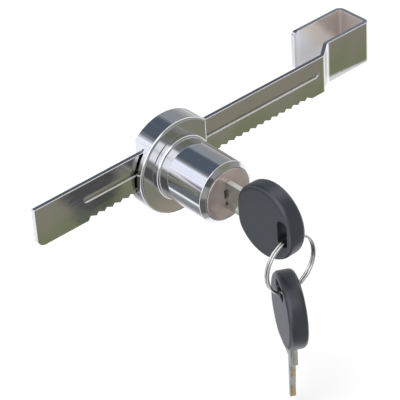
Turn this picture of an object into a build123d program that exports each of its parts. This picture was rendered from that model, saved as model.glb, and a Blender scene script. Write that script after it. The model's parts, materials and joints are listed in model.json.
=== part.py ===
from build123d import *
import os
from math import cos, pi, radians, sin, sqrt

# Ratchet lock for the edge of a sliding glass door. Millimetres.
# +X runs along the bar towards its hook, -Y points out of the barrel to the user, +Z is up.
# The origin is on the plug's axis, in the plane of the housing's back face.

# Bar
bar_thickness = 1.5
bar_height = 12.5
bar_top_z = 9.1
bar_left_x = -50.0
bar_corner_top = 1.0
bar_corner_bottom = 2.5
edge_round = 0.25
tooth_pitch = 2.875
tooth_pitches = 28
first_tip_x = -29.5
tooth_depth = 0.9
tip_rise = 0.35
steep_share = 0.28
groove_left_x = -33.5
groove_right_x = 57.0
groove_bottom_z = 2.7
groove_height = 2.6
groove_depth = 0.3
groove_wall = 0.21

# Joggle and hook at the right end of the bar
joggle_start_x = 59.3
joggle_run = 5.6
joggle_offset = 4.3
joggle_bend = 2.2
joggle_notch_z = -1.7
bar_corner_end = 1.6
hook_length = 18.1
hook_depth = 13.1
hook_height = 13.8
hook_return = 20.8
hook_front_bend = 1.8
hook_back_bend = 2.4
hook_corner = 1.6

# Housing
drum_radius = 15.0
drum_depth = 7.0
drum_edge = 0.8
flat_x = 10.2
rear_left_x = -10.5
rear_left_y = -1.5
relief_depth = 0.5
collar_radius = 10.1
collar_height = 1.5
collar_round = 0.9
barrel_radius = 9.5
barrel_front_y = -26.4
barrel_chamfer_length = 1.3
barrel_chamfer_depth = 1.2
barrel_edge = 0.25
bar_clearance = 0.1
web_thickness = 1.8
recess_gap = 0.5

# Back cover and its screws
cover_thickness = 2.94
cover_radius = 13.2
cover_half_width = 8.5
cover_clearance = 0.1
screw_radius = 1.0
screw_head_radius = 2.0
screw_hole_clearance = 0.1
screw_length = 6.0
screw_slot_width = 0.5
screw_slot_depth = 0.5
screw_top_z = 11.3
screw_side_x = 6.2
screw_side_z = -8.0

# Plug, cam and clip
plug_radius = 5.5
plug_clearance = 0.05
flange_radius = 7.9
flange_thickness = 1.55
plug_proud = 0.35
flange_clearance = 0.1
tail_radius = 3.0
drive_side = 3.4
drive_clearance = 0.05
cam_thickness = 1.1
cam_gap = 0.1
cam_base_radius = 4.0
cam_hub_radius = 3.3
cam_turn = 90.0
cam_run_out = 14.0
cam_steps = 6
clip_radius = 2.9
clip_thickness = 0.4
clip_gap = 0.05
stub_radius = 1.6
stub_end_gap = 0.16

# Pawl and its spring
pawl_width = 8.0
pawl_side_clearance = 0.1
pawl_bottom_z = -9.5
pawl_lift = 1.2
pawl_tooth_clearance = 0.15
nose_width = 1.0
nose_clearance = 0.12
nose_side_clearance = 0.15
chamber_wall = 2.0
pawl_spring_radius = 0.95
pawl_spring_wire = 0.4
pawl_spring_turns = 3.5
spring_room = 0.15

# Key, the same for both
key_thickness = 1.6
key_head_radius = 11.35
key_head_thickness = 5.5
key_face_radius = 10.0
key_rim = 4.3
key_head_flat = 10.4
shoulder_width = 9.0
shoulder_length = 6.4
shoulder_gap = 0.05
blade_foot = 3.4
blade_top = 1.9
blade_length = 14.9
blade_tip = 0.6
tang_width = 7.6
tang_end = -2.0
mill_depth = 0.65
mill_edge = -0.7
slot_width = 3.6
slot_length = 7.8
slot_centre = -7.4
slot_round = 1.2
keyway_clearance = 0.1
keyway_room = 0.65
keyway_room_height = 3.0
keyway_foot_room = 0.35
keyway_foot_height = 1.3

# Wafers and their springs
wafer_count = 4
wafer_pitch = 2.4
first_wafer_depth = 3.35
wafer_thickness = 1.2
wafer_width = 5.0
wafer_height = 9.6
wafer_clearance = 0.05
wafer_drop = 1.0
window_clearance = 0.15
window_rise = 0.5
window_width = 2.6
cut_step = 0.25
tab_length = 1.6
tab_height = 1.0
tab_top_z = 0.1
wafer_spring_length = 3.0
wafer_spring_radius = 0.5

# Split ring and where the second key hangs
ring_radius = 8.8
ring_wire = 0.75
ring_gap = 0.42
jog = 40.0
jog_centre = -90.0
ring_drop = 2.6
second_key_azimuth = 241.0
second_key_shift = -0.8
second_key_drop = 7.55
second_key_slide = 0.45

# Depths behind the front of the housing, as distances from the back face
cover_front_y = -cover_thickness
bar_back_y = cover_front_y - bar_clearance
bar_front_y = bar_back_y - bar_thickness
channel_front_y = bar_front_y - bar_clearance
stub_end_y = bar_front_y - stub_end_gap
clip_front_y = stub_end_y - clip_thickness
cam_back_y = clip_front_y - clip_gap
cam_front_y = cam_back_y - cam_thickness
web_back_y = cam_front_y - cam_gap
web_front_y = web_back_y - web_thickness
plug_front_y = barrel_front_y - plug_proud
flange_back_y = plug_front_y + flange_thickness

# Heights of the bar's edges
bar_bottom_z = bar_top_z - bar_height
tip_z = bar_bottom_z + tip_rise
valley_z = tip_z + tooth_depth
hook_bottom_z = bar_top_z - hook_height
channel_bottom_z = bar_bottom_z - bar_clearance
channel_top_z = bar_top_z + bar_clearance
chamber_floor_z = chamber_wall - drum_radius

# Places along the bar
joggle_end_x = joggle_start_x + joggle_run
hook_end_x = joggle_end_x + hook_length
hook_front_y = bar_front_y + joggle_offset
hook_back_y = hook_front_y + hook_depth
hook_free_x = hook_end_x - hook_return
steep_run = steep_share * tooth_pitch
gentle_run = tooth_pitch - steep_run

# Keys and ring
key_1_y = plug_front_y - shoulder_gap - shoulder_length - key_head_flat
shoulder_end = key_head_flat + shoulder_length
blade_end = shoulder_end + blade_length
ring_pitch = ring_wire + ring_gap
ring_y = key_1_y + slot_centre
ring_z = -ring_drop - ring_radius
key_1_plane = Plane(origin=(0, key_1_y, 0), x_dir=(0, 1, 0), z_dir=(1, 0, 0))
key_2_across = Vector(cos(radians(second_key_azimuth)), sin(radians(second_key_azimuth)), 0)
key_2_down = Vector(0, 0, -1)
ring_foot = Vector(0, ring_y, ring_z - ring_radius)
key_2_side = key_2_down.cross(key_2_across)
key_2_hang = ring_foot + key_2_down * second_key_drop + key_2_across * second_key_shift
key_2_centre = key_2_hang + key_2_side * second_key_slide
key_2_plane = Plane(origin=key_2_centre, x_dir=key_2_down, z_dir=key_2_side)
ring_plane = Plane(origin=(0, ring_y, ring_z), x_dir=(1, 0, 0), z_dir=(0, -1, 0))


def behind(y):
    """The plane of constant Y, seen from the user's side: X to the right, Z up, +normal to the user."""
    return Plane.XZ.offset(-y)


def finish(builder, name):
    """Label a piece and write it to its own file."""
    builder.part.label = name
    export_step(builder.part, f"parts/{name}.step")
    print(f"{name}: {builder.part.volume:.1f} mm3, {len(builder.part.solids())} solid(s)")


def saw_profile(first, last, drop):
    """Points of the bar's saw edge from valley to valley, lowered by drop."""
    points = []
    for index in range(first, last + 1):
        tip_x = first_tip_x + index * tooth_pitch
        points.append((tip_x, tip_z - drop))
        points.append((tip_x + steep_run, valley_z - drop))
    return points


def add_biarc(start, start_tangent, end, end_tangent):
    """Two arcs that leave start and reach end along the given tangents."""
    chord = end - start
    along = chord.dot(start_tangent + end_tangent)
    spread = 2 * (1 - start_tangent.dot(end_tangent))
    reach = (sqrt(along * along + spread * chord.dot(chord)) - along) / spread
    middle = (start + end + (start_tangent - end_tangent) * reach) * 0.5
    turn = (end - end_tangent * reach) - (start + start_tangent * reach)
    TangentArc(start, middle, tangent=start_tangent)
    TangentArc(middle, end, tangent=turn)


def coil_point(plane, radius, angle, height):
    """A point of a coil round the plane's own normal, angle in degrees."""
    across = plane.x_dir * cos(radians(angle)) + plane.y_dir * sin(radians(angle))
    return plane.origin + across * radius + plane.z_dir * height


def coil_tangent(plane, radius, angle, rise):
    """The coil's direction there, rise being its climb in one turn."""
    along = plane.y_dir * cos(radians(angle)) - plane.x_dir * sin(radians(angle))
    return (along * (2 * pi * radius) + plane.z_dir * rise).normalized()


os.makedirs("parts", exist_ok=True)

# Groove pressed into the bar's front: it deepens towards a steep lower wall
with BuildPart() as bar_groove:
    with BuildSketch(Plane.YZ.offset(groove_left_x)):
        with BuildLine():
            groove_floor = TangentArc(
                (bar_front_y, groove_bottom_z + groove_height),
                (bar_front_y + groove_depth, groove_bottom_z + groove_wall),
                tangent=(0, -1),
            )
            Polyline(
                groove_floor @ 1,
                (bar_front_y, groove_bottom_z),
                (bar_front_y - groove_depth, groove_bottom_z),
                (bar_front_y - groove_depth, groove_bottom_z + groove_height),
                groove_floor @ 0,
            )
        make_face()
    extrude(amount=groove_right_x - groove_left_x)
    with BuildSketch(behind(bar_front_y + groove_depth)):
        with Locations(((groove_left_x + groove_right_x) / 2, groove_bottom_z + groove_height / 2)):
            SlotOverall(groove_right_x - groove_left_x, groove_height)
    extrude(amount=2 * groove_depth, mode=Mode.INTERSECT)

# Ratchet bar: a strip bent in plan, then cut to its edges
with BuildPart() as ratchet_bar:
    with BuildSketch(Plane.XY.offset(hook_bottom_z)):
        with BuildLine():
            outside = FilletPolyline(
                (bar_left_x, bar_front_y),
                (joggle_start_x, bar_front_y),
                (joggle_end_x, hook_front_y),
                (hook_end_x, hook_front_y),
                (hook_end_x, hook_back_y),
                (hook_free_x, hook_back_y),
                radius=[joggle_bend, joggle_bend, hook_front_bend, hook_back_bend],
            )
            offset(outside, amount=bar_thickness, side=Side.LEFT)
        make_face()
    extrude(amount=hook_height)
    fillet(ratchet_bar.faces().sort_by(Axis.Z)[-1].outer_wire().edges(), radius=edge_round)
    with BuildSketch(behind(hook_back_y)):
        with BuildLine() as side_outline:
            Polyline(
                (bar_left_x, bar_bottom_z),
                (first_tip_x - gentle_run - steep_run, bar_bottom_z),
                (first_tip_x - gentle_run, valley_z),
                *saw_profile(0, tooth_pitches, 0),
                (first_tip_x + (tooth_pitches + 1) * tooth_pitch, bar_bottom_z),
                (joggle_start_x, bar_bottom_z),
                (joggle_start_x, joggle_notch_z),
                (joggle_end_x, hook_bottom_z),
                (hook_end_x, hook_bottom_z),
                (hook_end_x, bar_top_z),
                (bar_left_x, bar_top_z),
                close=True,
            )
        side_face = make_face()
        left_corners = side_face.vertices().group_by(Axis.X)[0].sort_by(Axis.Y)
        fillet(left_corners[0], radius=bar_corner_bottom)
        fillet(left_corners[-1], radius=bar_corner_top)
        joggle_corner = side_face.vertices().sort_by_distance((joggle_start_x, bar_bottom_z, 0))[0]
        fillet(joggle_corner, radius=bar_corner_end)
    extrude(amount=hook_back_y - bar_front_y, mode=Mode.INTERSECT)
    with BuildSketch(behind(hook_back_y)):
        with Locations((hook_free_x, (bar_top_z + hook_bottom_z) / 2)):
            Rectangle(2 * hook_corner, hook_height)
            RectangleRounded(
                4 * hook_corner,
                hook_height,
                hook_corner,
                align=(Align.MIN, Align.CENTER),
                mode=Mode.SUBTRACT,
            )
    extrude(amount=bar_thickness, mode=Mode.SUBTRACT)
    add(bar_groove.part, mode=Mode.SUBTRACT)
finish(ratchet_bar, "ratchet_bar")

# Housing: drum, collar and barrel, opened for the plug, the cam, the bar and the pawl
wafer_first_y = plug_front_y + first_wafer_depth
wafer_last_y = wafer_first_y + (wafer_count - 1) * wafer_pitch
wafer_bottom_z = -wafer_height / 2
chamber_half = pawl_width / 2 + pawl_side_clearance
recess_radius = cam_base_radius + pawl_lift + recess_gap
spring_y = (web_back_y + cover_front_y) / 2 + spring_room
spring_outer = pawl_spring_radius + pawl_spring_wire / 2
pocket_radius = cover_radius + cover_clearance
screw_places = [(0, screw_top_z), (-screw_side_x, screw_side_z), (screw_side_x, screw_side_z)]

with BuildPart() as lock_housing:
    with BuildSketch(behind(channel_front_y)):
        Circle(drum_radius)
        with Locations((flat_x, 0)):
            Rectangle(drum_radius, 2 * drum_radius, align=(Align.MIN, Align.CENTER), mode=Mode.SUBTRACT)
    extrude(amount=drum_depth + channel_front_y)
    drum_face = lock_housing.faces().sort_by(Axis.Y)[0]
    fillet(drum_face.edges(), radius=drum_edge)
    with BuildSketch(behind(0)):
        Circle(drum_radius)
        with Locations((flat_x, 0)):
            Rectangle(drum_radius, 2 * drum_radius, align=(Align.MIN, Align.CENTER), mode=Mode.SUBTRACT)
        with Locations((rear_left_x, 0)):
            Rectangle(drum_radius, 2 * drum_radius, align=(Align.MAX, Align.CENTER), mode=Mode.SUBTRACT)
    extrude(amount=-channel_front_y)
    with BuildSketch(behind(rear_left_y)):
        Circle(drum_radius)
        with Locations((rear_left_x, channel_bottom_z)):
            Rectangle(drum_radius, drum_radius, align=(Align.MAX, Align.MAX), mode=Mode.INTERSECT)
    extrude(amount=rear_left_y - channel_front_y)
    with BuildSketch(behind(-drum_depth)):
        Circle(collar_radius)
    extrude(amount=collar_height)
    fillet(lock_housing.faces().sort_by(Axis.Y)[0].edges(), radius=collar_round)
    with BuildSketch(behind(-drum_depth)):
        Circle(barrel_radius)
    extrude(amount=-barrel_front_y - drum_depth)
    barrel_end = lock_housing.faces().sort_by(Axis.Y)[0]
    chamfer(
        barrel_end.edges(),
        length=barrel_chamfer_length,
        length2=barrel_chamfer_depth,
        reference=barrel_end,
    )
    fillet(lock_housing.edges().filter_by(GeomType.CIRCLE).sort_by(Axis.Y)[:2], radius=barrel_edge)
    with BuildSketch(behind(flange_back_y + flange_clearance)):
        Circle(flange_radius + flange_clearance)
    extrude(amount=flange_thickness + flange_clearance, mode=Mode.SUBTRACT)
    with BuildSketch(behind(web_front_y)):
        Circle(plug_radius + plug_clearance)
    extrude(amount=web_front_y - barrel_front_y, mode=Mode.SUBTRACT)
    with BuildSketch(behind(web_back_y)):
        Circle(tail_radius + plug_clearance)
    extrude(amount=web_thickness, mode=Mode.SUBTRACT)
    with BuildSketch(behind(channel_front_y)):
        Circle(recess_radius)
        with Locations((0, pawl_bottom_z - pawl_lift - nose_side_clearance)):
            Rectangle(
                nose_width + 2 * nose_side_clearance,
                -(pawl_bottom_z - pawl_lift),
                align=(Align.CENTER, Align.MIN),
            )
    extrude(amount=channel_front_y - web_back_y, mode=Mode.SUBTRACT)
    with BuildSketch(behind(cover_front_y)):
        with Locations((0, channel_bottom_z)):
            Rectangle(4 * drum_radius, channel_top_z - channel_bottom_z, align=(Align.CENTER, Align.MIN))
        with Locations((0, chamber_floor_z)):
            Rectangle(2 * chamber_half, channel_top_z - chamber_floor_z, align=(Align.CENTER, Align.MIN))
    extrude(amount=cover_front_y - channel_front_y, mode=Mode.SUBTRACT)
    with BuildSketch(behind(channel_front_y)):
        with Locations((rear_left_x, channel_bottom_z)):
            Rectangle(drum_radius, channel_top_z - channel_bottom_z, align=(Align.MAX, Align.MIN))
    extrude(amount=relief_depth, mode=Mode.SUBTRACT)
    with BuildSketch(Plane.XY.offset(chamber_floor_z)):
        with Locations((0, spring_y)):
            Circle(spring_outer + spring_room)
    extrude(amount=pawl_bottom_z - chamber_floor_z, mode=Mode.SUBTRACT)
    with BuildSketch(behind(0)):
        Circle(pocket_radius)
        Rectangle(2 * (cover_half_width + cover_clearance), 4 * drum_radius, mode=Mode.INTERSECT)
    extrude(amount=cover_thickness, mode=Mode.SUBTRACT)
    with BuildSketch(behind(0)):
        with Locations(*screw_places):
            Circle(screw_radius)
    extrude(amount=screw_length, mode=Mode.SUBTRACT)
    groove_half = wafer_width / 2 + 2 * wafer_clearance
    with BuildSketch(behind(wafer_last_y + wafer_pitch / 2)):
        with Locations((0, wafer_bottom_z - wafer_drop - flange_clearance)):
            Rectangle(2 * groove_half, wafer_height / 2, align=(Align.CENTER, Align.MIN))
        with Locations((wafer_bottom_z - wafer_drop - flange_clearance, 0)):
            Rectangle(wafer_height / 2, 2 * groove_half, align=(Align.MIN, Align.CENTER))
    extrude(amount=(wafer_count - 1) * wafer_pitch + wafer_pitch, mode=Mode.SUBTRACT)
finish(lock_housing, "lock_housing")

# Back cover, inset in the back of the drum
with BuildPart() as back_cover:
    with BuildSketch(behind(0)):
        Circle(cover_radius)
        Rectangle(2 * cover_half_width, 4 * drum_radius, mode=Mode.INTERSECT)
    extrude(amount=cover_thickness)
    with BuildSketch(behind(0)):
        with Locations(*screw_places):
            Circle(screw_radius + screw_hole_clearance)
    extrude(amount=cover_thickness, mode=Mode.SUBTRACT)
    for place in screw_places:
        with BuildSketch(behind(0)):
            with Locations(place):
                Circle(screw_head_radius)
        with BuildSketch(behind(screw_radius - screw_head_radius)):
            with Locations(place):
                Circle(screw_radius)
        loft(mode=Mode.SUBTRACT)
finish(back_cover, "back_cover")

# Three countersunk screws with a slot in the head
with BuildPart() as cover_screws:
    for place in screw_places:
        with BuildSketch(behind(0)):
            with Locations(place):
                Circle(screw_radius)
        extrude(amount=screw_length)
        with BuildSketch(behind(0)):
            with Locations(place):
                Circle(screw_head_radius)
        with BuildSketch(behind(screw_radius - screw_head_radius)):
            with Locations(place):
                Circle(screw_radius)
        loft()
    with BuildSketch(behind(0)):
        with Locations(*screw_places):
            Rectangle(2 * screw_head_radius, screw_slot_width)
    extrude(amount=screw_slot_depth, mode=Mode.SUBTRACT)
finish(cover_screws, "cover_screws")

# Plug: flange, body with keyway and wafer slots, tail and square drive.
# The keyway has room beside the blade and a ward that fills the blade's milled side.
keyway_half_x = key_thickness / 2 + keyway_clearance
keyway_top_z = blade_top + keyway_clearance
keyway_bottom_z = -blade_foot - keyway_clearance
ward_top_z = mill_edge - keyway_clearance
keyway_depth = blade_length + keyway_clearance
spring_x = wafer_width / 2 + tab_length / 2 + wafer_clearance
pocket_end_x = wafer_width / 2 + tab_length + 2 * wafer_clearance
pocket_bottom_z = tab_top_z - tab_height - wafer_drop - wafer_clearance
wafer_places = [wafer_first_y + index * wafer_pitch for index in range(wafer_count)]

with BuildPart() as cylinder_plug:
    with BuildSketch(behind(flange_back_y)):
        Circle(flange_radius)
    extrude(amount=flange_thickness)
    with BuildSketch(behind(web_front_y - plug_clearance)):
        Circle(plug_radius)
    extrude(amount=web_front_y - plug_clearance - flange_back_y)
    with BuildSketch(behind(web_back_y)):
        Circle(tail_radius)
    extrude(amount=web_thickness + plug_clearance)
    with BuildSketch(behind(cam_back_y)):
        Rectangle(drive_side, drive_side)
    extrude(amount=cam_back_y - web_back_y)
    with BuildSketch(behind(stub_end_y)):
        Circle(stub_radius)
    extrude(amount=stub_end_y - cam_back_y)
    with BuildSketch(behind(plug_front_y + keyway_depth)):
        with Locations((0, keyway_bottom_z)):
            Rectangle(2 * keyway_half_x, keyway_top_z - keyway_bottom_z, align=(Align.CENTER, Align.MIN))
        with Locations((-keyway_half_x, keyway_top_z)):
            Rectangle(keyway_room, keyway_room_height, align=(Align.MAX, Align.MAX))
        with Locations((-keyway_half_x, keyway_bottom_z)):
            Rectangle(keyway_foot_room, keyway_foot_height, align=(Align.MAX, Align.MIN))
        with Locations((keyway_half_x, ward_top_z)):
            Rectangle(
                mill_depth,
                ward_top_z - keyway_bottom_z,
                align=(Align.MAX, Align.MAX),
                mode=Mode.SUBTRACT,
            )
    extrude(amount=keyway_depth, mode=Mode.SUBTRACT)
    for place_y in wafer_places:
        half_y = wafer_thickness / 2 + wafer_clearance
        with BuildSketch(behind(place_y + half_y)):
            Rectangle(wafer_width + 2 * wafer_clearance, 4 * plug_radius)
            with Locations((0, pocket_bottom_z)):
                Rectangle(
                    pocket_end_x,
                    tab_top_z + wafer_spring_length - pocket_bottom_z,
                    align=(Align.MIN, Align.MIN),
                )
        extrude(amount=2 * half_y, mode=Mode.SUBTRACT)
finish(cylinder_plug, "cylinder_plug")

# Cam: a spiral that rises by the pawl's lift over the plug's turn
cam_top_radius = cam_base_radius + pawl_lift


def cam_point(radius, angle):
    """A point of the cam, with angle from straight down towards the hook side."""
    return (radius * sin(radians(angle)), -radius * cos(radians(angle)))


def spiral_point(share):
    """A point of the rising part, share running from 0 to 1 over the plug's turn."""
    return cam_point(cam_base_radius + pawl_lift * share, cam_turn * share)


with BuildPart() as plug_cam:
    with BuildSketch(behind(cam_back_y)):
        Circle(cam_hub_radius)
        with BuildLine():
            spiral = Spline(*[spiral_point(step / cam_steps) for step in range(cam_steps + 1)])
            dwell_end = cam_point(cam_top_radius, cam_turn + cam_run_out)
            dwell = RadiusArc(spiral @ 1, dwell_end, -cam_top_radius)
            lead = RadiusArc(cam_point(cam_base_radius, -cam_run_out), spiral @ 0, -cam_base_radius)
            Line(dwell @ 1, (0, 0))
            Line((0, 0), lead @ 0)
        make_face()
        Rectangle(drive_side + 2 * drive_clearance, drive_side + 2 * drive_clearance, mode=Mode.SUBTRACT)
    extrude(amount=cam_thickness)
finish(plug_cam, "plug_cam")

# Push-on clip behind the cam
with BuildPart() as plug_clip:
    with BuildSketch(behind(stub_end_y)):
        Circle(clip_radius)
        Circle(stub_radius, mode=Mode.SUBTRACT)
    extrude(amount=clip_thickness)
finish(plug_clip, "plug_clip")

# Wafers: plates with a window for the key and a tab for the spring
for number, place_y in enumerate(wafer_places, start=1):
    window_top_z = blade_top - number * cut_step + window_rise
    window_bottom_z = -blade_foot - window_clearance
    with BuildPart() as wafer:
        with BuildSketch(behind(place_y + wafer_thickness / 2)):
            Rectangle(wafer_width, wafer_height)
            with Locations((0, tab_top_z)):
                Rectangle(wafer_width / 2 + tab_length, tab_height, align=(Align.MIN, Align.MAX))
            with Locations((0, window_bottom_z)):
                Rectangle(
                    window_width,
                    window_top_z - window_bottom_z,
                    align=(Align.CENTER, Align.MIN),
                    mode=Mode.SUBTRACT,
                )
        extrude(amount=wafer_thickness)
    finish(wafer, f"wafer_{number}")
    with BuildPart() as wafer_spring:
        with BuildSketch(Plane.XY.offset(tab_top_z)):
            with Locations((spring_x, place_y)):
                Circle(wafer_spring_radius)
        extrude(amount=wafer_spring_length)
    finish(wafer_spring, f"wafer_spring_{number}")

# Pawl: saw teeth under the bar, and a nose in front for the cam
nose_top_z = -(cam_base_radius + nose_clearance)
pawl_half = pawl_width / 2
first_index = int((-pawl_half - first_tip_x) // tooth_pitch)
last_index = int((pawl_half - first_tip_x) // tooth_pitch) + 1
pawl_teeth = saw_profile(first_index, last_index, pawl_tooth_clearance)
with BuildPart() as pawl:
    with BuildSketch(behind(bar_back_y)):
        with BuildLine():
            Polyline(
                (pawl_teeth[0][0], pawl_bottom_z),
                *pawl_teeth,
                (pawl_teeth[-1][0], pawl_bottom_z),
                close=True,
            )
        make_face()
        with Locations((0, pawl_bottom_z)):
            Rectangle(
                pawl_width,
                valley_z - pawl_bottom_z,
                align=(Align.CENTER, Align.MIN),
                mode=Mode.INTERSECT,
            )
    extrude(amount=bar_thickness)
    with BuildSketch(behind(bar_front_y)):
        with Locations((0, pawl_bottom_z)):
            Rectangle(nose_width, nose_top_z - pawl_bottom_z, align=(Align.CENTER, Align.MIN))
    extrude(amount=bar_front_y - cam_front_y - cam_gap)
finish(pawl, "pawl")

# Coil spring that holds the pawl up
spring_rise = (pawl_bottom_z - chamber_floor_z - pawl_spring_wire) / pawl_spring_turns
with BuildPart() as pawl_spring:
    spring_plane = Plane(origin=(0, spring_y, chamber_floor_z + pawl_spring_wire / 2))
    with BuildLine() as spring_path:
        for quarter in range(round(4 * pawl_spring_turns)):
            angle = 90 * quarter
            add_biarc(
                coil_point(spring_plane, pawl_spring_radius, angle, spring_rise * quarter / 4),
                coil_tangent(spring_plane, pawl_spring_radius, angle, spring_rise),
                coil_point(spring_plane, pawl_spring_radius, angle + 90, spring_rise * (quarter + 1) / 4),
                coil_tangent(spring_plane, pawl_spring_radius, angle + 90, spring_rise),
            )
    with BuildSketch(Plane(origin=spring_path.line @ 0, z_dir=spring_path.line % 0)):
        Circle(pawl_spring_wire / 2)
    sweep(path=spring_path.line)
finish(pawl_spring, "pawl_spring")
print(f"pawl_spring gap between turns {spring_rise - pawl_spring_wire:.2f} mm")


def build_key(name, plane):
    """One key: a plate blade, milled thin along its foot, and the plastic head moulded round its tang.
    Along the key, local X runs from the head's centre to the tip."""
    steps = [(shoulder_end + keyway_clearance, blade_top)]
    first_step_x = shoulder_end + first_wafer_depth - wafer_pitch / 2
    for number in range(1, wafer_count + 1):
        step_x = first_step_x + (number - 1) * wafer_pitch
        steps.append((step_x, steps[-1][1]))
        steps.append((step_x, blade_top - number * cut_step))
    with BuildPart() as blade:
        with BuildSketch(plane.offset(-key_thickness / 2)):
            with BuildLine():
                Polyline(
                    (tang_end, -tang_width / 2),
                    (key_head_flat, -tang_width / 2),
                    (key_head_flat, -shoulder_width / 2),
                    (shoulder_end, -shoulder_width / 2),
                    (shoulder_end, -blade_foot),
                    (blade_end - blade_tip, -blade_foot),
                    (blade_end, blade_tip - blade_foot),
                    (blade_end, steps[-1][1] - blade_tip),
                    (blade_end - blade_tip, steps[-1][1]),
                    *reversed(steps[1:]),
                    (shoulder_end, blade_top),
                    (shoulder_end, shoulder_width / 2),
                    (key_head_flat, shoulder_width / 2),
                    (key_head_flat, tang_width / 2),
                    (tang_end, tang_width / 2),
                    close=True,
                )
            make_face()
        extrude(amount=key_thickness)
        with BuildSketch(plane.offset(key_thickness / 2)):
            with Locations((shoulder_end, mill_edge)):
                Rectangle(blade_length, shoulder_width, align=(Align.MIN, Align.MAX))
        extrude(amount=-mill_depth, mode=Mode.SUBTRACT)
    finish(blade, f"{name}_blade")
    face_z = key_head_thickness / 2
    with BuildPart() as head:
        with BuildSketch(Plane(origin=plane.origin, x_dir=plane.x_dir, z_dir=-plane.y_dir)):
            with BuildLine():
                back = Line((0, -face_z), (key_face_radius, -face_z))
                back_bevel = TangentArc(back @ 1, (key_head_radius, -key_rim / 2), tangent=(1, 0))
                rim = Line(back_bevel @ 1, (key_head_radius, key_rim / 2))
                front = Line((0, face_z), (key_face_radius, face_z))
                TangentArc(front @ 1, rim @ 1, tangent=(1, 0))
                Line(front @ 0, back @ 0)
            make_face()
        revolve(axis=Axis(plane.origin, plane.z_dir))
        flat = Plane(origin=plane.origin + plane.x_dir * key_head_flat, z_dir=plane.x_dir)
        split(bisect_by=flat, keep=Keep.BOTTOM)
        with BuildSketch(plane.offset(-key_head_thickness / 2)):
            with Locations((slot_centre, 0)):
                RectangleRounded(slot_width, slot_length, slot_round)
        extrude(amount=key_head_thickness, mode=Mode.SUBTRACT)
        with BuildSketch(plane.offset(-key_thickness / 2)):
            with Locations((tang_end, 0)):
                Rectangle(key_head_flat - tang_end, tang_width, align=(Align.MIN, Align.CENTER))
        extrude(amount=key_thickness, mode=Mode.SUBTRACT)
    finish(head, f"{name}_head")


build_key("key_1", key_1_plane)
build_key("key_2", key_2_plane)

# Split ring: two flat turns joined by one jog, where the wire's ends stop
ring_level = ring_pitch / 2


def add_flat_turn(level):
    """Three quarters of a turn in one plane, from the end of the jog round to its start."""
    for quarter in range(3):
        angle = jog_centre + jog / 2 + (360 - jog) / 3 * quarter
        ThreePointArc(*[coil_point(ring_plane, ring_radius, angle + (360 - jog) / 6 * part, level)
                        for part in range(3)])


with BuildPart() as split_ring:
    with BuildLine() as ring_path:
        add_flat_turn(-ring_level)
        add_biarc(
            coil_point(ring_plane, ring_radius, jog_centre - jog / 2, -ring_level),
            coil_tangent(ring_plane, ring_radius, jog_centre - jog / 2, 0),
            coil_point(ring_plane, ring_radius, jog_centre + jog / 2, ring_level),
            coil_tangent(ring_plane, ring_radius, jog_centre + jog / 2, 0),
        )
        add_flat_turn(ring_level)
    with BuildSketch(Plane(origin=ring_path.line @ 0, z_dir=ring_path.line % 0)):
        Circle(ring_wire / 2)
    sweep(path=ring_path.line)
finish(split_ring, "split_ring")
print(f"split_ring gap between turns {ring_pitch - ring_wire:.2f} mm")
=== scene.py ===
import json
from math import cos, degrees, hypot, pi, radians, sin, sqrt

import bmesh
import bpy
from mathutils import Matrix, Vector


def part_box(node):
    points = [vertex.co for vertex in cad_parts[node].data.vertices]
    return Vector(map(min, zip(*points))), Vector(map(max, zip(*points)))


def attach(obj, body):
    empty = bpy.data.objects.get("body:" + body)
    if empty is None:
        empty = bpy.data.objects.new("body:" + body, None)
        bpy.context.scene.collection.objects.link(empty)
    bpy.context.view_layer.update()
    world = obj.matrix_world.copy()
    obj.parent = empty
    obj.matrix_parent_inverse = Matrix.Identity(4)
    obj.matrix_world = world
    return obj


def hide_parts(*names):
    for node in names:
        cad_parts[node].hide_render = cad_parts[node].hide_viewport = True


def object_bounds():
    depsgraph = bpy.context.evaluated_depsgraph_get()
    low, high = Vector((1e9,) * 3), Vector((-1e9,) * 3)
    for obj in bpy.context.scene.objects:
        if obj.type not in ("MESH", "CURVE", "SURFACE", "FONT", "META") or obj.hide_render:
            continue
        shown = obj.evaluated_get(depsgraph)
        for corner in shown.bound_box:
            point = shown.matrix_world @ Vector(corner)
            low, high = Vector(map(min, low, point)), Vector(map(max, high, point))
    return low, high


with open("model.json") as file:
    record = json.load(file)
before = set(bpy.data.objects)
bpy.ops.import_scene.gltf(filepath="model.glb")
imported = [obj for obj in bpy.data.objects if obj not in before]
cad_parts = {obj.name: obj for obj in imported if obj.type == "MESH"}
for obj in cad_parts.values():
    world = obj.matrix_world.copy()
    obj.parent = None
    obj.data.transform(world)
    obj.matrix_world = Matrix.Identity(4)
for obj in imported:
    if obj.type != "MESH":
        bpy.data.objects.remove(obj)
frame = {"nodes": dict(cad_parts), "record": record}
cad_low, cad_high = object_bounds()

MM = 0.001

# Camera, fitted to the photograph's 400 x 400 frame
VIEW_AZIMUTH = -39.494
VIEW_ELEVATION = 35.489
VIEW_ROLL = -3.781
VIEW_DISTANCE = 575.8 * MM
VIEW_SIDE = 9.8 * MM
VIEW_RISE = -12.414 * MM
SENSOR_WIDTH = 36.0
LENS = 181.33
NEAREST_SEEN = 0.01
FURTHEST_SEEN = 50


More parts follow.
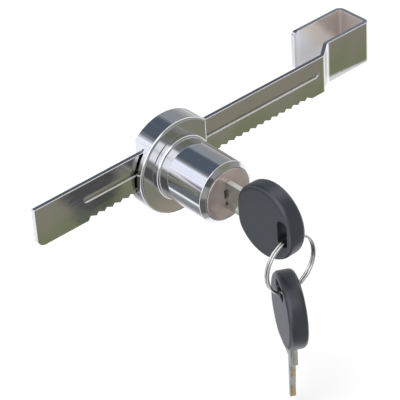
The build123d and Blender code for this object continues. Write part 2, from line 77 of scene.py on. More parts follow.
def make_camera():
    """A camera at the photograph's viewing angle. Two sideways steps put the origin in its place there."""
    azimuth, elevation, roll = (radians(angle) for angle in (VIEW_AZIMUTH, VIEW_ELEVATION, VIEW_ROLL))
    back = Vector((sin(azimuth) * cos(elevation), -cos(azimuth) * cos(elevation), sin(elevation)))
    right = Vector((0, 0, 1)).cross(back).normalized()
    up = back.cross(right)
    right, up = cos(roll) * right + sin(roll) * up, cos(roll) * up - sin(roll) * right
    data = bpy.data.cameras.new("camera")
    data.sensor_width = SENSOR_WIDTH
    data.lens = LENS
    data.clip_start = NEAREST_SEEN
    data.clip_end = FURTHEST_SEEN
    camera = bpy.data.objects.new("camera", data)
    bpy.context.scene.collection.objects.link(camera)
    turn = Matrix((right, up, back)).transposed().to_4x4()
    place = VIEW_DISTANCE * back + VIEW_SIDE * right + VIEW_RISE * up
    camera.matrix_world = Matrix.Translation(place) @ turn
    bpy.context.scene.camera = camera


class Graph:
    """Short calls that build one node tree."""

    def __init__(self, tree):
        self.tree = tree
        tree.nodes.clear()

    def node(self, kind, **inputs):
        """A node with its inputs set or linked. A name that starts with set_ is the node's own setting."""
        made = self.tree.nodes.new(kind)
        for name, value in inputs.items():
            if name.startswith("set_"):
                setattr(made, name[4:], value)
        for name, value in inputs.items():
            if not name.startswith("set_"):
                self.put(made, name, value)
        return made

    def put(self, node, name, value):
        """Sets or links one input, found by its name or, as in_2, by its number."""
        key = int(name[3:]) if name.startswith("in_") else name.replace("_", " ")
        socket = node.inputs[key]
        if isinstance(value, bpy.types.NodeSocket):
            self.tree.links.new(value, socket)
        else:
            socket.default_value = value

    def math(self, operation, *values):
        made = self.node("ShaderNodeMath", set_operation=operation)
        for i, value in enumerate(values):
            self.put(made, f"in_{i}", value)
        return made.outputs[0]

    def product(self, first, *others):
        """All the values multiplied."""
        for value in others:
            first = self.math("MULTIPLY", first, value)
        return first

    def vector_math(self, operation, *values):
        made = self.node("ShaderNodeVectorMath", set_operation=operation)
        for i, value in enumerate(values):
            self.put(made, f"in_{i}", value)
        return made.outputs["Value" if operation == "DOT_PRODUCT" else "Vector"]

    def axes(self, vector):
        """A vector's parts, by the names X, Y and Z."""
        return self.node("ShaderNodeSeparateXYZ", Vector=vector).outputs

    def ramp(self, value, low, high, start=0.0, end=1.0, smooth=True):
        """value from low to high becomes start to end."""
        made = self.node("ShaderNodeMapRange", set_interpolation_type="SMOOTHSTEP" if smooth else "LINEAR",
                         Value=value, From_Min=low, From_Max=high, To_Min=start, To_Max=end)
        return made.outputs["Result"]

    def mix(self, factor, first, second):
        """A colour between two colours."""
        made = self.node("ShaderNodeMix", set_data_type="RGBA", set_clamp_factor=True)
        self.put(made, "in_0", factor)
        for i, value in ((6, first), (7, second)):
            self.put(made, f"in_{i}", value if isinstance(value, bpy.types.NodeSocket) else (*value, 1.0))
        return made.outputs[2]


# Spans that hold most of a noise's values: a ramp over the narrow one gives harder clouds
WIDE_SPAN = (0.3, 0.7)
NARROW_SPAN = (0.35, 0.65)

# Studio, as the polished metal sees it. Tones are radiance, 1 is paper white.
PALE = (1.0, 1.0, 1.0)
AMBIENT = (1.02, 1.02, 1.02)

# Directions are counted in degrees round the barrel, from +X over the top
FIRST_ANGLE = -48
LAST_ANGLE = 312

# Beside and behind the lock: grey, bright low on the side of the hook, and strips that run along the barrel
SIDES_BRIGHTEN = (255, 300)
SIDES_GREY = (0.34, 0.35, 0.36)
SIDES_BRIGHT = (1.15, 1.17, 1.25)
# Start, end, softness, tone
SIDE_STRIPS = (
    (-60, -22, 8, (0.95, 0.97, 1.05)),
    (-22, 13, 5, (0.56, 0.57, 0.58)),
    (-12, -4, 3, (0.78, 0.80, 0.82)),
    (12, 22, 3, (0.44, 0.45, 0.46)),
    (22, 34, 3, (0.38, 0.40, 0.42)),
    (34, 44, 4, (0.38, 0.41, 0.46)),
    (46, 62, 4, (0.36, 0.40, 0.45)),
    (60, 114, 7, (0.12, 0.15, 0.20)),
    (122, 161, 5, (1.20, 1.23, 1.42)),
    (167, 222, 4, (0.20, 0.22, 0.25)),
    (179, 187, 3, (0.40, 0.44, 0.48)),
    (223, 238, 4, (0.55, 0.60, 0.64)),
    (225, 232, 1, (1.35, 1.40, 1.48)),
)
STREAK_SCALE = 0.45
STREAK_TONES = (0.76, 1.22)

# In front of the lock: two greys, strips that fade in towards the sides, and soft round patches
FRONT_LOW = (0.50, 0.50, 0.48)
FRONT_HIGH = (0.36, 0.37, 0.38)
# The part of the direction along Y where it fades in, then start, end, softness, tone
FRONT_STRIPS = (
    ((-0.74, -0.62), 98, 172, 8, (1.9, 1.95, 2.1)),
    ((-0.52, -0.40), -62, -16, 8, (0.95, 0.96, 1.06)),
)
# Direction, inner and outer radius in degrees, tone. The first lies under the strips, the others over them.
PATCH_UNDER = ((-0.62, -0.50, -0.60), 16, 30, (0.16, 0.16, 0.17))
PATCHES_OVER = (
    ((0.52, -0.63, -0.58), 13, 20, (0.29, 0.29, 0.23)),
    ((0.52, -0.29, -0.81), 7, 13, (0.12, 0.12, 0.12)),
    ((-0.40, -0.81, 0.43), 9, 15, (0.12, 0.12, 0.13)),
    ((0.52, -0.53, 0.67), 12, 24, (0.30, 0.32, 0.24)),
)

# The bright band between front and sides, by the part of the direction along Y
BAND = (1.30, 1.32, 1.38)
FRONT_TO_BAND = (-0.22, -0.08)
BAND_TO_SIDES = (0.28, 0.42)


def strip(g, seen, around, start, end, soft, tone):
    """What was seen, with a strip of another tone between two angles."""
    after_start = g.ramp(around, start - soft, start + soft)
    before_end = g.ramp(around, end - soft, end + soft, 1, 0)
    return g.mix(g.product(after_start, before_end), seen, tone)


def patch(g, seen, direction, towards, inner, outer, tone):
    """What was seen, with a soft round patch of another tone."""
    lean = g.vector_math("DOT_PRODUCT", direction, tuple(Vector(towards).normalized()))
    return g.mix(g.ramp(lean, cos(radians(outer)), cos(radians(inner))), seen, tone)


def angle_around(g, axes):
    """A direction's angle round the barrel."""
    around = g.math("ARCTAN2", axes["Z"], axes["X"])
    around = g.math("WRAP", around, radians(LAST_ANGLE), radians(FIRST_ANGLE))
    return g.math("MULTIPLY", around, degrees(1))


def studio_sides(g, around):
    sides = g.mix(g.ramp(around, *SIDES_BRIGHTEN), SIDES_GREY, SIDES_BRIGHT)
    for start, end, soft, tone in SIDE_STRIPS:
        sides = strip(g, sides, around, start, end, soft, tone)
    noise = g.node("ShaderNodeTexNoise", set_noise_dimensions="1D", W=around, Scale=STREAK_SCALE, Detail=3.0)
    streaks = g.ramp(noise.outputs["Fac"], *WIDE_SPAN, *STREAK_TONES, smooth=False)
    grey = g.node("ShaderNodeCombineXYZ", X=streaks, Y=streaks, Z=streaks).outputs[0]
    return g.vector_math("MULTIPLY", sides, grey)


def studio_front(g, direction, axes, around):
    front = g.mix(g.ramp(axes["Z"], -0.5, 0.5), FRONT_LOW, FRONT_HIGH)
    front = patch(g, front, direction, *PATCH_UNDER)
    for fade, start, end, soft, tone in FRONT_STRIPS:
        front = g.mix(g.ramp(axes["Y"], *fade), front, strip(g, front, around, start, end, soft, tone))
    for towards, inner, outer, tone in PATCHES_OVER:
        front = patch(g, front, direction, towards, inner, outer, tone)
    return front


def make_world():
    """Pale all round for the eye and for soft light. Only reflections see the studio."""
    world = bpy.data.worlds.new("studio")
    bpy.context.scene.world = world
    world.use_nodes = True
    g = Graph(world.node_tree)
    direction = g.node("ShaderNodeTexCoord").outputs["Generated"]
    axes = g.axes(direction)
    around = angle_around(g, axes)
    behind_front = g.mix(g.ramp(axes["Y"], *BAND_TO_SIDES), BAND, studio_sides(g, around))
    front = studio_front(g, direction, axes, around)
    studio = g.mix(g.ramp(axes["Y"], *FRONT_TO_BAND), front, behind_front)
    ray = g.node("ShaderNodeLightPath").outputs
    seen = g.mix(ray["Is Glossy Ray"], AMBIENT, studio)
    seen = g.mix(ray["Is Camera Ray"], seen, PALE)
    background = g.node("ShaderNodeBackground", Color=seen)
    g.node("ShaderNodeOutputWorld", Surface=background.outputs[0])


BUMP_DEPTH = 0.02 * MM


class Finish(Graph):
    """The node tree of one material, in the piece's own coordinates."""

    def __init__(self, name):
        self.material = bpy.data.materials.new(name)
        self.material.use_nodes = True
        super().__init__(self.material.node_tree)
        self.place = self.node("ShaderNodeTexCoord").outputs["Object"]

    def facing(self):
        """The parts of the direction that the surface faces."""
        return self.axes(self.node("ShaderNodeNewGeometry").outputs["Normal"])

    def noise(self, scale, detail, stretch=None):
        """Soft noise from 0 to 1. Where it is finer along two axes, it runs in lines along the third."""
        place = self.place
        if stretch:
            place = self.vector_math("MULTIPLY", place, stretch)
        return self.node("ShaderNodeTexNoise", Vector=place, Scale=scale, Detail=detail).outputs["Fac"]

    def drift(self, value, cloud, amount):
        """A value that wanders with the clouds, so that what follows it has uneven edges."""
        return self.math("ADD", value, self.math("MULTIPLY", self.math("SUBTRACT", cloud, 0.5), amount))

    def surface(self, height, strength, depth=BUMP_DEPTH, **inputs):
        """The shader, bumped by a height, and the material that it completes."""
        bump = self.node("ShaderNodeBump", Height=height, Strength=strength, Distance=depth)
        shader = self.node("ShaderNodeBsdfPrincipled", Normal=bump.outputs["Normal"], **inputs)
        self.node("ShaderNodeOutputMaterial", Surface=shader.outputs[0])
        return self.material


FLOOR_GAP = 4 * MM
FLOOR_SIZE = 3.0
FLOOR_TONES = ((0.985, 0.985, 0.985), (1.0, 1.0, 1.0))


def make_floor():
    """A plain pale floor under the lowest point. Reflections look through it into the studio."""
    half = FLOOR_SIZE / 2
    level = cad_low.z - FLOOR_GAP
    mesh = bpy.data.meshes.new("floor")
    corners = [(x * half, y * half, level) for x, y in ((-1, -1), (1, -1), (1, 1), (-1, 1))]
    mesh.from_pydata(corners, [], [(0, 1, 2, 3)])
    floor = bpy.data.objects.new("floor", mesh)
    bpy.context.scene.collection.objects.link(floor)
    g = Finish("floor")
    surface = g.node("ShaderNodeBsdfDiffuse", Color=g.mix(g.noise(3.0, 2.0), *FLOOR_TONES))
    g.node("ShaderNodeOutputMaterial", Surface=surface.outputs[0])
    mesh.materials.append(g.material)
    floor.visible_glossy = False


def make_light(name, towards, distance, size, power):
    """A square soft light that points at the origin from the given direction."""
    data = bpy.data.lights.new(name, "AREA")
    data.size = size
    data.energy = power
    light = bpy.data.objects.new(name, data)
    bpy.context.scene.collection.objects.link(light)
    away = Vector(towards).normalized()
    turn = away.to_track_quat("Z", "Y").to_matrix().to_4x4()
    light.matrix_world = Matrix.Translation(away * distance) @ turn
    light.visible_glossy = False


CLOUD_SCALE = 90.0
SCRATCH_SCALE = 1500.0


def metal(name, tint, tint_2, rough, rough_2, grain):
    """Plated metal: two close tints in soft clouds, and fine scratches that open the gloss."""
    g = Finish(name)
    colour = g.mix(g.ramp(g.noise(CLOUD_SCALE, 3.0), *NARROW_SPAN), tint, tint_2)
    fine = g.noise(SCRATCH_SCALE, 4.0)
    roughness = g.ramp(fine, *WIDE_SPAN, rough, rough_2)
    return g.surface(fine, grain, Base_Color=colour, Metallic=1.0, Roughness=roughness)


# Where the bar's plating changes: X along it, Y through it, Z up it
BOTTOM_EDGE = -3.4 * MM
TOP_EDGE = 9.1 * MM
JOGGLE = (59.6 * MM, 61.8 * MM, 63.4 * MM, 64.9 * MM)
HOOK_START = 63.0 * MM
HOOK_INSIDE = (1.2 * MM, 11.5 * MM)
# Where the hook's painted reflection turns warmer and its painted shade darker: along X + Z, with a drift
# that makes it uneven
HOOK_WARMER = (70.0 * MM, 76.0 * MM)
HOOK_DARKER = (77.0 * MM, 82.0 * MM)
HOOK_DRIFT = 8 * MM
# The painted highlight at the hook's foot: its top falls along X, and it is soft in Z
HIGHLIGHT_ALONG = (64.0 * MM, 83.0 * MM)
HIGHLIGHT_TOP = (-2.6 * MM, -4.0 * MM)
HIGHLIGHT_SOFT = (-0.9 * MM, 0.5 * MM)
SKIN = 0.1 * MM

# Its tints: low and high; painted dark reflection on the upper face, bar and hook; painted reflection and
# shade inside the hook, pale to dark; first and second half of the bend; painted highlights at the hook's
# foot and on the lit edges
BAR_TINTS = ((0.58, 0.62, 0.48), (0.70, 0.66, 0.66))
UPPER_FACE_PAINTED_DARK_TINTS = ((0.22, 0.23, 0.27), (0.42, 0.43, 0.46))
HOOK_PAINTED_LIGHT_TINTS = ((0.86, 0.86, 0.93), (0.86, 0.80, 0.76), (0.56, 0.49, 0.46))
BEND_TINTS = ((0.60, 0.60, 0.64), (0.92, 0.92, 1.0))
HOOK_FOOT_HIGHLIGHT_TINT = (0.92, 0.92, 0.96)
EDGE_HIGHLIGHT_TINT = (0.93, 0.93, 0.96)
EDGE_STRENGTH = 0.8

# Parts of the direction that a face looks in, from where a tint starts to where it is full
LOOKS_UP = (0.93, 0.985)
LEANS_UP = (0.45, 0.75)
LOOKS_TO_PLAIN_END = (-0.85, -0.97)
LEANS_TO_USER = (-0.3, -0.5)

BAR_CLOUD_SCALE = 75.0
HEIGHT_WEIGHT = 0.25
LINE_SCALE = 260.0
LINE_STRETCH = (1.0, 14.0, 14.0)
BAR_ROUGHNESS = (0.09, 0.18)
DULL_ROUGHER = 0.20
DULL_LESS_METALLIC = 0.55


def paint_hook_light_and_shade(g, axes, cloud):
    """Painted reflection and shade inside the hook: pale at its free end, warmer and darker further in."""
    slant = g.drift(g.math("ADD", axes["X"], axes["Z"]), cloud, HOOK_DRIFT)
    pale, warm, dark = HOOK_PAINTED_LIGHT_TINTS
    hook_painted_light = g.mix(g.ramp(slant, *HOOK_WARMER), pale, warm)
    return g.mix(g.ramp(slant, *HOOK_DARKER), hook_painted_light, dark)


def in_hook(g, axes, past_joggle, not_top):
    after_front = g.ramp(axes["Y"], HOOK_INSIDE[0], HOOK_INSIDE[0] + SKIN)
    before_back = g.ramp(axes["Y"], HOOK_INSIDE[1] - SKIN, HOOK_INSIDE[1], 1, 0)
    return g.product(after_front, before_back, past_joggle, not_top)


def in_painted_highlight(g, axes, past_joggle):
    """Where a highlight is painted, along the foot of the hook's front face."""
    top = g.ramp(axes["X"], *HIGHLIGHT_ALONG, *HIGHLIGHT_TOP, smooth=False)
    painted_highlight = g.ramp(g.math("SUBTRACT", axes["Z"], top), *HIGHLIGHT_SOFT, 1, 0)
    return g.product(painted_highlight, past_joggle, g.ramp(axes["Y"], 0.0, 2 * SKIN, 1, 0))


def in_bend(g, axes, facing):
    """On the joggle, on its side towards the user."""
    after_start = g.ramp(axes["X"], JOGGLE[0], JOGGLE[0] + 0.6 * MM)
    before_end = g.ramp(axes["X"], JOGGLE[3] - 0.4 * MM, JOGGLE[3], 1, 0)
    return g.product(after_start, before_end, g.ramp(facing["Y"], *LEANS_TO_USER))


def on_lit_edge(g, axes, facing, not_top):
    """Where a highlight is painted: on the bar's faces that look to its plain end, and on its front face
    where that leans up.
    """
    before_hook = g.ramp(axes["X"], HOOK_START, HOOK_START + MM, 1, 0)
    end = g.product(g.ramp(facing["X"], *LOOKS_TO_PLAIN_END), before_hook)
    on_front = g.ramp(axes["Y"], 0.0, SKIN, 1, 0)
    upward = g.product(g.ramp(facing["Z"], *LEANS_UP), not_top, EDGE_STRENGTH, on_front)
    return g.math("MAXIMUM", end, upward)


def strip_steel():
    """The bar's plating: greenish at the foot to pinkish grey at the top, in soft clouds, with fine lines
    along the strip. Its upper face gets a painted dark reflection, the hook's inside a painted reflection and
    shade, and the hook's foot and the lit edges painted highlights. The hook's inside, the bend and the lit
    edges are duller."""
    g = Finish("bar_chrome_look")
    axes = g.axes(g.place)
    facing = g.facing()
    cloud = g.noise(BAR_CLOUD_SCALE, 3.0)
    height = g.ramp(axes["Z"], BOTTOM_EDGE, TOP_EDGE, -HEIGHT_WEIGHT, HEIGHT_WEIGHT, smooth=False)
    colour = g.mix(g.ramp(g.math("ADD", cloud, height), *WIDE_SPAN), *BAR_TINTS)
    # Faces that look up: the tint below paints a dark reflection on them
    top = g.ramp(facing["Z"], *LOOKS_UP)
    not_top = g.math("SUBTRACT", 1.0, top)
    painted_dark_top = g.mix(g.ramp(axes["X"], HOOK_START, HOOK_START + 3 * MM), *UPPER_FACE_PAINTED_DARK_TINTS)
    past_joggle = g.ramp(axes["X"], HOOK_START - 0.5 * MM, HOOK_START)
    inside = in_hook(g, axes, past_joggle, not_top)
    # Painted highlight along the foot of the hook's front face
    painted_highlight = in_painted_highlight(g, axes, past_joggle)
    bend = in_bend(g, axes, facing)
    bend_tint = g.mix(g.ramp(axes["X"], JOGGLE[1], JOGGLE[2]), *BEND_TINTS)
    # Painted highlight on the lit edges
    edge = on_lit_edge(g, axes, facing, not_top)
    # Painted reflection and shade inside the hook
    hook_painted_light = paint_hook_light_and_shade(g, axes, cloud)
    layers = ((top, painted_dark_top), (inside, hook_painted_light), (painted_highlight, HOOK_FOOT_HIGHLIGHT_TINT), (bend, bend_tint), (edge, EDGE_HIGHLIGHT_TINT))
    for where, tint in layers:
        colour = g.mix(where, colour, tint)

    lines = g.noise(LINE_SCALE, 4.0, LINE_STRETCH)
    dull = g.math("MAXIMUM", g.math("MAXIMUM", inside, painted_highlight), g.math("MAXIMUM", bend, edge))
    roughness = g.ramp(lines, *WIDE_SPAN, *BAR_ROUGHNESS)
    roughness = g.math("ADD", roughness, g.math("MULTIPLY", dull, DULL_ROUGHER))
    metallic = g.math("SUBTRACT", 1.0, g.math("MULTIPLY", dull, DULL_LESS_METALLIC))
    return g.surface(lines, 0.12, Base_Color=colour, Metallic=metallic, Roughness=roughness)


# The drum's flat face gets a painted warm, pale reflection from the second height down to the first
FACE_PAINTED_REFLECTION = (-13.0 * MM, -4.0 * MM)
FACE_DRIFT = 10 * MM
FACE_PAINTED_REFLECTION_TINT = (0.98, 0.84, 0.88)
LOOKS_AT_USER = (-0.97, -0.99)
CHROME_TINTS = ((0.64, 0.64, 0.65), (0.66, 0.66, 0.66))


def casting_chrome():
    """Polished chrome. The drum's face has a painted reflection that is warmer and paler towards its foot."""
    g = Finish("housing_chrome_look")
    cloud = g.noise(CLOUD_SCALE, 3.0)
    colour = g.mix(g.ramp(cloud, *NARROW_SPAN), *CHROME_TINTS)
    height = g.drift(g.axes(g.place)["Z"], cloud, FACE_DRIFT)
    # Painted warm, pale reflection on the drum's face towards its foot
    foot = g.product(g.ramp(height, *FACE_PAINTED_REFLECTION, 1, 0), g.ramp(g.facing()["Y"], *LOOKS_AT_USER))
    colour = g.mix(foot, colour, FACE_PAINTED_REFLECTION_TINT)
    fine = g.noise(SCRATCH_SCALE, 4.0)
    roughness = g.ramp(fine, *WIDE_SPAN, 0.03, 0.07)
    return g.surface(fine, 0.03, Base_Color=colour, Metallic=1.0, Roughness=roughness)


SATIN_SCALE = 1800.0


def satin_face(name, tint, tint_2, rough, rough_2, metallic):
    """Satin nickel: part of the light is scattered, in soft clouds of two tints, with a fine grain."""
    g = Finish(name)
    colour = g.mix(g.ramp(g.noise(220.0, 4.0), *WIDE_SPAN), tint, tint_2)
    fine = g.noise(SATIN_SCALE, 3.0)
    roughness = g.ramp(fine, *WIDE_SPAN, rough, rough_2)
    return g.surface(fine, 0.04, Base_Color=colour, Metallic=metallic, Roughness=roughness)


# The key's flats in two tints, a painted highlight on its upper narrow faces, and painted shade on the flat
# that looks the far way, whose direction is given in X and Y
FLAT_TINTS = ((0.50, 0.51, 0.45), (0.60, 0.60, 0.54))
NARROW_HIGHLIGHT_TINT = (0.74, 0.75, 0.73)
NARROW_LOOKS_UP = (0.75, 0.95)
NARROW_LESS_METALLIC = 0.4
FAR_SHADE_TINT = (0.13, 0.14, 0.14)
FAR_WAY = (-0.875, 0.485)
LOOKS_FAR = (0.92, 0.98)


def key_steel():
    """Nickel plated key blank: half-gloss on its flats. The narrow faces that look up get a painted highlight
    and are duller, and the hanging key's far flat gets painted shade."""
    g = Finish("key_nickel_look")
    facing = g.facing()
    colour = g.mix(g.ramp(g.noise(300.0, 4.0), *WIDE_SPAN), *FLAT_TINTS)
    # Painted highlight on the narrow faces that look up
    narrow = g.ramp(facing["Z"], *NARROW_LOOKS_UP)
    colour = g.mix(narrow, colour, NARROW_HIGHLIGHT_TINT)
    # Painted shade on the flat that looks the far way
    far_x = g.math("MULTIPLY", facing["X"], FAR_WAY[0])
    far_y = g.math("MULTIPLY", facing["Y"], FAR_WAY[1])
    colour = g.mix(g.ramp(g.math("ADD", far_x, far_y), *LOOKS_FAR), colour, FAR_SHADE_TINT)
    fine = g.noise(SATIN_SCALE, 3.0)
    roughness = g.ramp(fine, *WIDE_SPAN, 0.16, 0.26)
    metallic = g.math("SUBTRACT", 0.85, g.math("MULTIPLY", narrow, NARROW_LESS_METALLIC))
    return g.surface(fine, 0.05, Base_Color=colour, Metallic=metallic, Roughness=roughness)


def plastic(name, tint, tint_2, rough, rough_2):
    """Moulded plastic with a faint spark-eroded grain."""
    g = Finish(name)
    colour = g.mix(g.noise(150.0, 3.0), tint, tint_2)
    grain = g.noise(4000.0, 3.0)
    roughness = g.ramp(grain, *WIDE_SPAN, rough, rough_2)
    return g.surface(grain, 0.25, 0.03 * MM, Base_Color=colour, Roughness=roughness, Specular_IOR_Level=0.85)


# Slot, two tints, two roughnesses, strength of the scratches
PLAIN_METALS = (
    ("cover_zinc", (0.58, 0.60, 0.62), (0.66, 0.66, 0.64), 0.28, 0.42, 0.3),
    ("screw_steel", (0.54, 0.54, 0.55), (0.60, 0.60, 0.60), 0.20, 0.34, 0.2),
    ("cam_steel", (0.50, 0.50, 0.52), (0.56, 0.56, 0.56), 0.25, 0.40, 0.3),
    ("clip_steel", (0.30, 0.30, 0.33), (0.38, 0.38, 0.40), 0.25, 0.40, 0.2),
    ("pawl_brass", (0.72, 0.55, 0.27), (0.76, 0.60, 0.33), 0.20, 0.34, 0.2),
    ("spring_steel", (0.50, 0.50, 0.52), (0.56, 0.56, 0.57), 0.18, 0.30, 0.1),
    ("wafer_brass", (0.76, 0.60, 0.30), (0.80, 0.65, 0.36), 0.18, 0.30, 0.2),
    ("ring_nickel", (0.66, 0.65, 0.62), (0.70, 0.69, 0.66), 0.06, 0.14, 0.05),
)
# Two tints, two roughnesses, and for the plug how metallic it is
PLUG_LOOK = ((0.56, 0.47, 0.44), (0.64, 0.55, 0.52), 0.08, 0.16, 0.62)
PLASTIC_LOOK = ((0.012, 0.016, 0.023), (0.018, 0.024, 0.033), 0.34, 0.44)

FINISHES = {slot: metal(slot + "_look", *look) for slot, *look in PLAIN_METALS}
FINISHES["bar_chrome"] = strip_steel()
FINISHES["housing_chrome"] = casting_chrome()
FINISHES["plug_nickel"] = satin_face("plug_nickel_look", *PLUG_LOOK)
FINISHES["key_nickel"] = key_steel()
FINISHES["key_plastic"] = plastic("key_plastic_look", *PLASTIC_LOOK)
BRASS_CUT = metal("cut_brass", (0.80, 0.62, 0.36), (0.86, 0.72, 0.50), 0.25, 0.40, 0.3)

SLOT_OF = {part["node"]: part["material_slot"] for part in frame["record"]["subparts"]}
BODY_OF = {node: body for body, nodes in frame["record"]["behaviour"]["bodies"].items() for node in nodes}

for node_name, node in frame["nodes"].items():
    for material_slot in node.material_slots:
        material_slot.material = FINISHES[SLOT_OF[node_name]]


def stand_in(piece, node_name):
    """The piece takes the place of the node of that name, its body and its finish."""
    bpy.context.scene.collection.objects.link(piece)
    if not piece.data.materials:
        piece.data.materials.append(FINISHES[SLOT_OF[node_name]])
    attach(piece, BODY_OF[node_name])
    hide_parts(node_name)


# Split ring: two turns of wire that lie close together. Angles in degrees, from +X over the top.
RING_WIRE = 0.375 * MM
RING_GAP = 0.07 * MM
RING_JOG = 40.0
RING_JOG_CENTRE = -90.0
RING_STEPS = 96
RING_TAPER = 3
RING_TIP = 0.55


def make_split_ring():
    """One turn behind the other, joined by a jog, with ends that taper."""
    low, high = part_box("split_ring")
    centre = (low + high) / 2
    radius = (high.x - low.x) / 2 - RING_WIRE
    level = RING_WIRE + RING_GAP / 2
    curve = bpy.data.curves.new("split_ring_wire", "CURVE")
    curve.dimensions = "3D"
    curve.bevel_depth = RING_WIRE
    curve.bevel_resolution = 6
    curve.resolution_u = 2
    curve.use_fill_caps = True
    spline = curve.splines.new("NURBS")
    spline.points.add(2 * RING_STEPS)
    for i, point in enumerate(spline.points):
        turned = i / RING_STEPS * (360 - RING_JOG / 2)
        angle = radians(RING_JOG_CENTRE + RING_JOG / 2 + turned)
        rise = min(max((turned - (360 - RING_JOG)) / RING_JOG, 0), 1)
        rise = rise * rise * (3 - 2 * rise)
        depth = centre.y + level * (1 - 2 * rise)
        point.co = (centre.x + radius * cos(angle), depth, centre.z + radius * sin(angle), 1)
        from_end = min(i, 2 * RING_STEPS - i)
        point.radius = RING_TIP + (1 - RING_TIP) * min(from_end / RING_TAPER, 1)
    spline.order_u = 4
    spline.use_endpoint_u = True
    stand_in(bpy.data.objects.new("split_ring_wire", curve), "split_ring")


# Key heads: a disc with a rounded rim and one flat side, and a hole for the ring. X points to the key's tip.
HEAD_RADIUS = 11.35 * MM
HEAD_HALF = 2.75 * MM
HEAD_RIM_HALF = 2.15 * MM
HEAD_BEVEL = 1.35 * MM
HEAD_FLAT = 10.4 * MM
HEAD_SOFT = 0.7 * MM
HEAD_DIRECTIONS = 240
HOLE_CENTRE = -7.4 * MM
HOLE_HALF_WIDTH = 1.8 * MM
HOLE_HALF_LENGTH = 3.9 * MM
HOLE_ROUND = 1.2 * MM
HOLE_SOFT = 0.35 * MM
CORNER_ZONE = 2 * MM
CORNER_SHARPNESS = 14
TINY = 1e-9

# How far inside its rim and outside its hole the head's loops of points lie, and the most of the face's width
# that they take up
RIM_INSETS = [i * MM for i in (0, 0.05, 0.15, 0.3, 0.5, 0.8, 1.15, 1.5, 1.9, 2.3, 2.65, 3.0, 3.6)]
RIM_SHARE = 0.6
HOLE_INSETS = [i * MM for i in (0, 0.05, 0.12, 0.22, 0.35, 0.6)]
HOLE_SHARE = 0.3


def edge_drop(inset, soft):
    """How far a rounded edge of radius soft lies below the face, at a distance inside the edge."""
    short = max(soft - inset, 0)
    return soft - sqrt(soft * soft - short * short)


def head_height(x, y, to_hole):
    """Height of the head's face over its middle plane: a shallow arc near the rim, and rounded edges."""
    inset = max(HEAD_RADIUS - hypot(x, y), 0)
    fall = HEAD_HALF - HEAD_RIM_HALF
    arc = (HEAD_BEVEL ** 2 + fall ** 2) / (2 * fall)
    out = max(HEAD_BEVEL - inset, 0)
    height = HEAD_HALF - (arc - sqrt(arc * arc - out * out))
    at_rim = edge_drop(inset, HEAD_SOFT)
    at_flat = edge_drop(max(HEAD_FLAT - x, 0), HEAD_SOFT)
    at_hole = edge_drop(to_hole, HOLE_SOFT)
    return height - at_rim - at_flat - at_hole


def reach_outline(angle):
    """Distance from the hole's centre to the outline, with soft corners where the flat meets the circle."""
    along = HOLE_CENTRE * cos(angle)
    to_circle = -along + sqrt(along * along + HEAD_RADIUS ** 2 - HOLE_CENTRE ** 2)
    if cos(angle) <= 0:
        return to_circle
    to_flat = (HEAD_FLAT - HOLE_CENTRE) / cos(angle)
    if abs(to_circle - to_flat) >= CORNER_ZONE:
        return min(to_circle, to_flat)
    return (to_circle ** -CORNER_SHARPNESS + to_flat ** -CORNER_SHARPNESS) ** (-1 / CORNER_SHARPNESS)


def reach_hole(angle):
    """Distance from the hole's centre to its rounded rectangle."""
    c = abs(cos(angle))
    s = abs(sin(angle))
    straight_x = HOLE_HALF_WIDTH - HOLE_ROUND
    straight_y = HOLE_HALF_LENGTH - HOLE_ROUND
    side = HOLE_HALF_WIDTH / c if c > TINY else 1
    end = HOLE_HALF_LENGTH / s if s > TINY else 1
    if side * s <= straight_y:
        return side
    if end * c <= straight_x:
        return end
    corner = straight_x * c + straight_y * s
    off = straight_x ** 2 + straight_y ** 2 - HOLE_ROUND ** 2
    return corner + sqrt(max(corner * corner - off, 0))


def face_loop(hole_inset=None, rim_inset=None):
    """Points (x, y, z) round the head's front face, at one inset from its hole or from its rim."""
    loop = []
    for step in range(HEAD_DIRECTIONS):
        angle = 2 * pi * step / HEAD_DIRECTIONS
        inner = reach_hole(angle)
        outer = reach_outline(angle)
        room = outer - inner
        if rim_inset is None:
            reach = inner + hole_inset * min(1, HOLE_SHARE * room / HOLE_INSETS[-1])
        else:
            reach = outer - rim_inset * min(1, RIM_SHARE * room / RIM_INSETS[-1])
        x = HOLE_CENTRE + reach * cos(angle)
        y = reach * sin(angle)
        loop.append((x, y, head_height(x, y, reach - inner)))
    return loop


def head_loops():
    """Loops in the head's own axes, from the hole over the front face and the rim to the back face."""
    front = [face_loop(hole_inset=inset) for inset in HOLE_INSETS]
    front += [face_loop(rim_inset=inset) for inset in reversed(RIM_INSETS)]
    back = [[(x, y, -z) for x, y, z in loop] for loop in reversed(front)]
    middle = [(x, y, 0.0) for x, y, z in front[-1]]
    inside = [(x, y, 0.0) for x, y, z in front[0]]
    return front + [middle] + back + [inside]


def make_key_head(name, node_name, place):
    """The head's loops, joined into one closed skin."""
    loops = head_loops()
    mesh = bpy.data.meshes.new(name)
    points = [place @ Vector(point) for loop in loops for point in loop]
    faces = []
    for j in range(len(loops)):
        row = j * HEAD_DIRECTIONS
        next_row = (j + 1) % len(loops) * HEAD_DIRECTIONS
        for k in range(HEAD_DIRECTIONS):
            after = (k + 1) % HEAD_DIRECTIONS
            faces.append((row + k, next_row + k, next_row + after, row + after))
    mesh.from_pydata(points, [], faces)
    mesh.shade_smooth()
    mesh.validate()
    stand_in(bpy.data.objects.new(name, mesh), node_name)


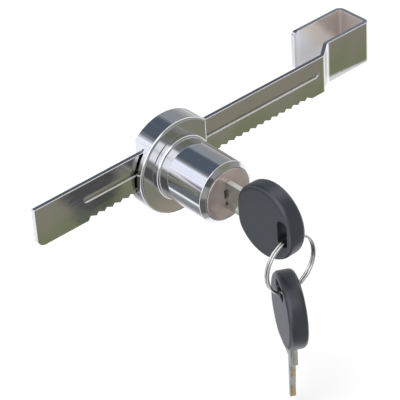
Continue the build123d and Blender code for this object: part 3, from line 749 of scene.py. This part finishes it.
def key_place(node_name, azimuth=None):
    """The key's own axes, X towards its tip and Z out of its head's broad face. Without an azimuth it is the
    key in the lock. With one it hangs, and its width points that way."""
    low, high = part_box(node_name)
    if azimuth is None:
        tip = Vector((0, 1, 0))
        across = Vector((0, 0, 1))
        centre = Vector((0, low.y + HEAD_RADIUS, 0))
    else:
        tip = Vector((0, 0, -1))
        across = Vector((cos(radians(azimuth)), sin(radians(azimuth)), 0))
        centre = (low + high) / 2
        centre.z = high.z - HEAD_RADIUS
    turn = Matrix((tip, across, tip.cross(across))).transposed().to_4x4()
    return Matrix.Translation(centre) @ turn


SECOND_KEY_AZIMUTH = 241.0
KEY_PLACES = {"key_1": key_place("key_1_head"), "key_2": key_place("key_2_head", SECOND_KEY_AZIMUTH)}


# Small parts: the node's shape with its edges broken
WELD = 1e-6
FLAT_ANGLE = radians(1)
EDGE_ANGLE = radians(32)
CREASE_ANGLE = radians(50)


def broken_edges(name, node_name, width, marks=(), splits=()):
    """A copy of the node's shape with soft edges. marks are (material, test on a face's centre and normal),
    and splits are planes, each a point and a normal, that divide faces where a mark ends."""
    shape = bmesh.new()
    shape.from_mesh(frame["nodes"][node_name].data)
    bmesh.ops.remove_doubles(shape, verts=shape.verts, dist=WELD)
    bmesh.ops.dissolve_limit(shape, angle_limit=FLAT_ANGLE, verts=shape.verts, edges=shape.edges)
    for point, normal in splits:
        parts = list(shape.verts) + list(shape.edges) + list(shape.faces)
        bmesh.ops.bisect_plane(shape, geom=parts, plane_co=point, plane_no=normal)
    sharp = [e for e in shape.edges if len(e.link_faces) == 2 and e.calc_face_angle() > EDGE_ANGLE]
    bmesh.ops.bevel(shape, geom=sharp, offset=width, segments=2, profile=0.6, affect="EDGES",
                    clamp_overlap=True)
    shape.normal_update()
    for face in shape.faces:
        face.smooth = True
        face.material_index = 0
        for number, (material, marked) in enumerate(marks, start=1):
            if marked(face.calc_center_median(), face.normal):
                face.material_index = number
    mesh = bpy.data.meshes.new(name)
    mesh.materials.append(FINISHES[SLOT_OF[node_name]])
    for material, marked in marks:
        mesh.materials.append(material)
    shape.to_mesh(mesh)
    shape.free()
    mesh.set_sharp_from_angle(angle=CREASE_ANGLE)
    stand_in(bpy.data.objects.new(name, mesh), node_name)


# Widths in mm
BROKEN_EDGES = {
    "back_cover": 0.15,
    "cover_screws": 0.08,
    "cylinder_plug": 0.16,
    "plug_cam": 0.10,
    "plug_clip": 0.06,
    "pawl": 0.10,
}
for node_name, width in BROKEN_EDGES.items():
    broken_edges(node_name + "_piece", node_name, width * MM)

# Key blades: nickel plated, with bare brass where cuts were made. The zones are in mm from the blade's start,
# and that is in mm from the head's centre.
BLADE_START = 16.8
CUT_ZONES = ((4.0, 6.4), (10.8, 15.2))
BLADE_EDGES = 0.09


def in_cut(place):
    """A test for the faces along the cut edge that show brass."""
    back = place.inverted()

    def marked(centre, normal):
        at = back @ centre
        out = (back.to_3x3() @ normal).y
        along = at.x / MM - BLADE_START
        return out > 0.3 and at.y > 0 and any(start < along < end for start, end in CUT_ZONES)
    return marked


def cut_ends(place):
    """Planes across the blade where the brass starts and ends."""
    along = (place.to_3x3() @ Vector((1, 0, 0))).normalized()
    ends = [end for zone in CUT_ZONES for end in zone]
    return [(place @ Vector(((BLADE_START + end) * MM, 0, 0)), along) for end in ends]


make_split_ring()
for key, place in KEY_PLACES.items():
    make_key_head(key + "_grip", key + "_head", place)
    marks = [(BRASS_CUT, in_cut(place))]
    broken_edges(key + "_steel", key + "_blade", BLADE_EDGES * MM, marks, cut_ends(place))

make_camera()
make_world()
make_floor()
make_light("key_light", towards=(-0.4, -0.1, 0.9), distance=0.8, size=0.5, power=1.2)

bpy.context.scene.view_settings.view_transform = "Standard"
